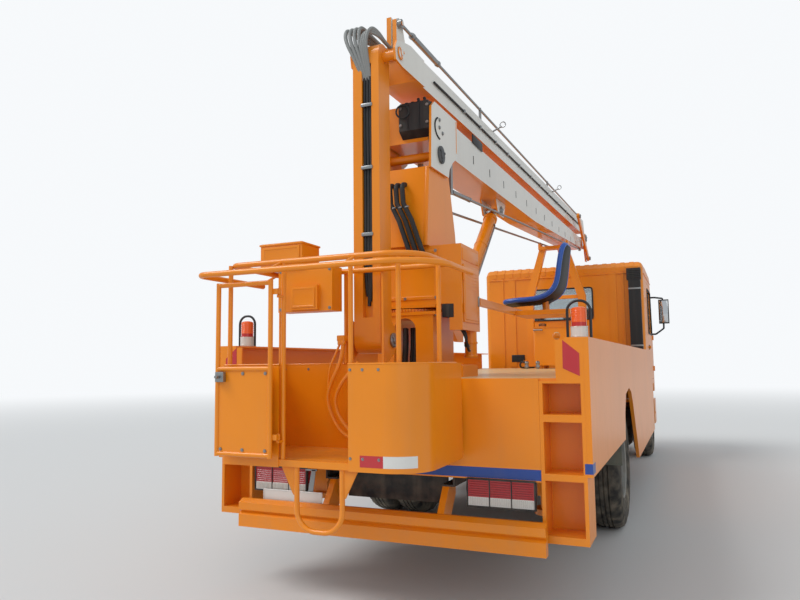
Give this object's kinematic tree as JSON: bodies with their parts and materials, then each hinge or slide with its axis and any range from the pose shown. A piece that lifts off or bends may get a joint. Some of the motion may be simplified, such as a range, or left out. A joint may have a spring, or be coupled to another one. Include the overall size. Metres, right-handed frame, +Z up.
{
  "type": "cherry picker truck",
  "caption": "Folding-boom aerial work platform truck with a turntable, jointed booms, a gated work basket, cab doors, outrigger jacks and rolling wheels.",
  "frame": {"origin": "on the ground under the middle of the whole truck's box", "axes": "+X to the truck's left, the cab at the -Y end, +Z up"},
  "size_m": [2.84, 9.109, 3.878],
  "materials": {
    "body_paint": "gloss orange-yellow paint",
    "boom_white": "gloss white paint",
    "frame_black": "satin black chassis paint",
    "black_plastic": "matte black plastic",
    "blue_plastic": "moulded blue plastic",
    "lamp_red": "red lamp lens",
    "lamp_amber": "amber lamp lens",
    "glass": "clear glass",
    "tyre": "black tyre rubber",
    "hose": "black hose rubber",
    "steel": "bare zinc-plated steel",
    "chrome_rod": "chromed rod",
    "seat_cloth": "dark seat cloth"
  },
  "bodies": {
    "chassis": {"chassis_frame": "frame_black", "front_axle": "frame_black", "rear_axle": "frame_black", "engine_block": "steel", "fuel_tank": "frame_black", "front_bumper": "body_paint", "cab_shell": "body_paint", "cab_glass": "glass", "cab_interior": "seat_cloth", "front_grille": "black_plastic", "headlamps": "glass", "cab_fittings": "black_plastic", "deck": "body_paint", "side_wall_left": "body_paint", "side_wall_right": "body_paint", "beacons": "lamp_amber", "tail_frames": "body_paint", "rear_panel": "body_paint", "underrun_guard": "body_paint", "tail_lamps": "lamp_red", "boom_rest": "body_paint", "pedestal": "body_paint", "outrigger_housings": "body_paint", "oil_tank": "body_paint", "mud_flaps": "black_plastic"},
    "turntable": {"turntable": "body_paint", "operator_seat": "blue_plastic", "tower_hoses": "hose"},
    "lift_barrel": {"lift_barrel": "body_paint"},
    "lift_rod": {"lift_rod": "chrome_rod"},
    "lower_boom": {"lower_boom": "boom_white", "valve_cover": "black_plastic", "lower_rods": "steel"},
    "elbow_lever": {"elbow_lever": "body_paint"},
    "upper_boom": {"upper_boom": "boom_white", "upper_rod": "steel"},
    "fly_arm": {"fly_arm": "body_paint", "arm_hoses": "hose"},
    "basket": {"basket_frame": "body_paint", "basket_panels": "body_paint", "control_box": "body_paint", "foot_stirrup": "body_paint", "basket_hoses": "body_paint"},
    "basket_gate": {"basket_gate": "body_paint"},
    "cab_door_left": {"cab_door_left": "body_paint"},
    "cab_door_right": {"cab_door_right": "body_paint"},
    "knuckle_left": {"knuckle_left": "frame_black"},
    "knuckle_right": {"knuckle_right": "frame_black"},
    "wheel_front_left": {"tyre_front_left": "tyre", "rim_front_left": "body_paint"},
    "jack_front_left": {"jack_front_left": "steel"},
    "wheel_front_right": {"tyre_front_right": "tyre", "rim_front_right": "body_paint"},
    "jack_front_right": {"jack_front_right": "steel"},
    "wheel_rear_left": {"tyre_rear_left": "tyre", "rim_rear_left": "body_paint"},
    "jack_rear_left": {"jack_rear_left": "steel"},
    "wheel_rear_right": {"tyre_rear_right": "tyre", "rim_rear_right": "body_paint"},
    "jack_rear_right": {"jack_rear_right": "steel"}
  },
  "joints": [
    {"name": "lower_boom_lift", "type": "hinge", "parent": "turntable", "child": "lower_boom", "pos_m": [0, 3.2235, 2.852], "axis": [-1, 0, 0], "range_deg": [0, 75]},
    {"name": "turntable_slew", "type": "hinge", "parent": "chassis", "child": "turntable", "pos_m": [0, 3.2085, 1.779], "axis": [0, 0, 1], "range_deg": [-180, 180]},
    {"name": "lift_barrel_swing", "type": "hinge", "parent": "turntable", "child": "lift_barrel", "pos_m": [0, 2.5135, 1.64], "axis": [-1, 0, 0], "range_deg": [0, 60]},
    {"name": "lift_rod_slide", "type": "slide", "parent": "lift_barrel", "child": "lift_rod", "axis": [0, -0.7297, 0.6838], "range_m": [0, 1.7]},
    {"name": "upper_boom_unfold", "type": "hinge", "parent": "lower_boom", "child": "upper_boom", "pos_m": [0, -4.0865, 3.51], "axis": [1, 0, 0], "range_deg": [0, 150]},
    {"name": "elbow_lever_swing", "type": "hinge", "parent": "lower_boom", "child": "elbow_lever", "pos_m": [0, -3.9365, 3.14], "axis": [1, 0, 0], "range_deg": [0, 60]},
    {"name": "fly_arm_unfold", "type": "hinge", "parent": "upper_boom", "child": "fly_arm", "pos_m": [0, 3.7635, 3.36], "axis": [1, 0, 0], "range_deg": [0, 90]},
    {"name": "basket_level", "type": "hinge", "parent": "fly_arm", "child": "basket", "pos_m": [0, 3.7635, 1.56], "axis": [-1, 0, 0], "range_deg": [0, 150]},
    {"name": "basket_gate_swing", "type": "hinge", "parent": "basket", "child": "basket_gate", "pos_m": [0.285, 4.4535, 1.4], "axis": [0, 0, 1], "range_deg": [0, 180]},
    {"name": "cab_door_left_swing", "type": "hinge", "parent": "chassis", "child": "cab_door_left", "pos_m": [1.162, -4.2425, 1.54], "axis": [0, 0, -1], "range_deg": [0, 70]},
    {"name": "cab_door_right_swing", "type": "hinge", "parent": "chassis", "child": "cab_door_right", "pos_m": [-1.162, -4.2425, 1.54], "axis": [0, 0, 1], "range_deg": [0, 70]},
    {"name": "steering_left", "type": "hinge", "parent": "chassis", "child": "knuckle_left", "pos_m": [0.85, -3.3865, 0.475], "axis": [0, 0, 1], "range_deg": [-35, 35]},
    {"name": "steering_right", "type": "hinge", "parent": "chassis", "child": "knuckle_right", "pos_m": [-0.85, -3.3865, 0.475], "axis": [0, 0, 1], "range_deg": [-35, 35]},
    {"name": "wheel_front_left_spin", "type": "hinge", "parent": "knuckle_left", "child": "wheel_front_left", "pos_m": [1.01, -3.3865, 0.509], "axis": [1, 0, 0], "continuous": true},
    {"name": "wheel_front_right_spin", "type": "hinge", "parent": "knuckle_right", "child": "wheel_front_right", "pos_m": [-1.01, -3.3865, 0.509], "axis": [1, 0, 0], "continuous": true},
    {"name": "wheel_rear_left_spin", "type": "hinge", "parent": "chassis", "child": "wheel_rear_left", "pos_m": [0.885, 1.3135, 0.509], "axis": [1, 0, 0], "continuous": true},
    {"name": "wheel_rear_right_spin", "type": "hinge", "parent": "chassis", "child": "wheel_rear_right", "pos_m": [-0.885, 1.3135, 0.509], "axis": [1, 0, 0], "continuous": true},
    {"name": "jack_front_left_extend", "type": "slide", "parent": "chassis", "child": "jack_front_left", "axis": [0, 0, -1], "range_m": [0, 0.43]},
    {"name": "jack_front_right_extend", "type": "slide", "parent": "chassis", "child": "jack_front_right", "axis": [0, 0, -1], "range_m": [0, 0.43]},
    {"name": "jack_rear_left_extend", "type": "slide", "parent": "chassis", "child": "jack_rear_left", "axis": [0, 0, -1], "range_m": [0, 0.43]},
    {"name": "jack_rear_right_extend", "type": "slide", "parent": "chassis", "child": "jack_rear_right", "axis": [0, 0, -1], "range_m": [0, 0.43]}
  ],
  "couplings": [
    {"joint": "turntable_slew", "follows": "lower_boom_lift", "ratio": 1.2},
    {"joint": "lift_barrel_swing", "follows": "lower_boom_lift", "ratio": 0.67891},
    {"joint": "lift_rod_slide", "follows": "lower_boom_lift", "m_per_rad": 1.0493},
    {"joint": "upper_boom_unfold", "follows": "lower_boom_lift", "ratio": 2},
    {"joint": "elbow_lever_swing", "follows": "lower_boom_lift", "ratio": 0.66},
    {"joint": "fly_arm_unfold", "follows": "lower_boom_lift", "ratio": 0.6},
    {"joint": "basket_level", "follows": "lower_boom_lift", "ratio": 1.6},
    {"joint": "steering_right", "follows": "steering_left", "ratio": 1}
  ]
}
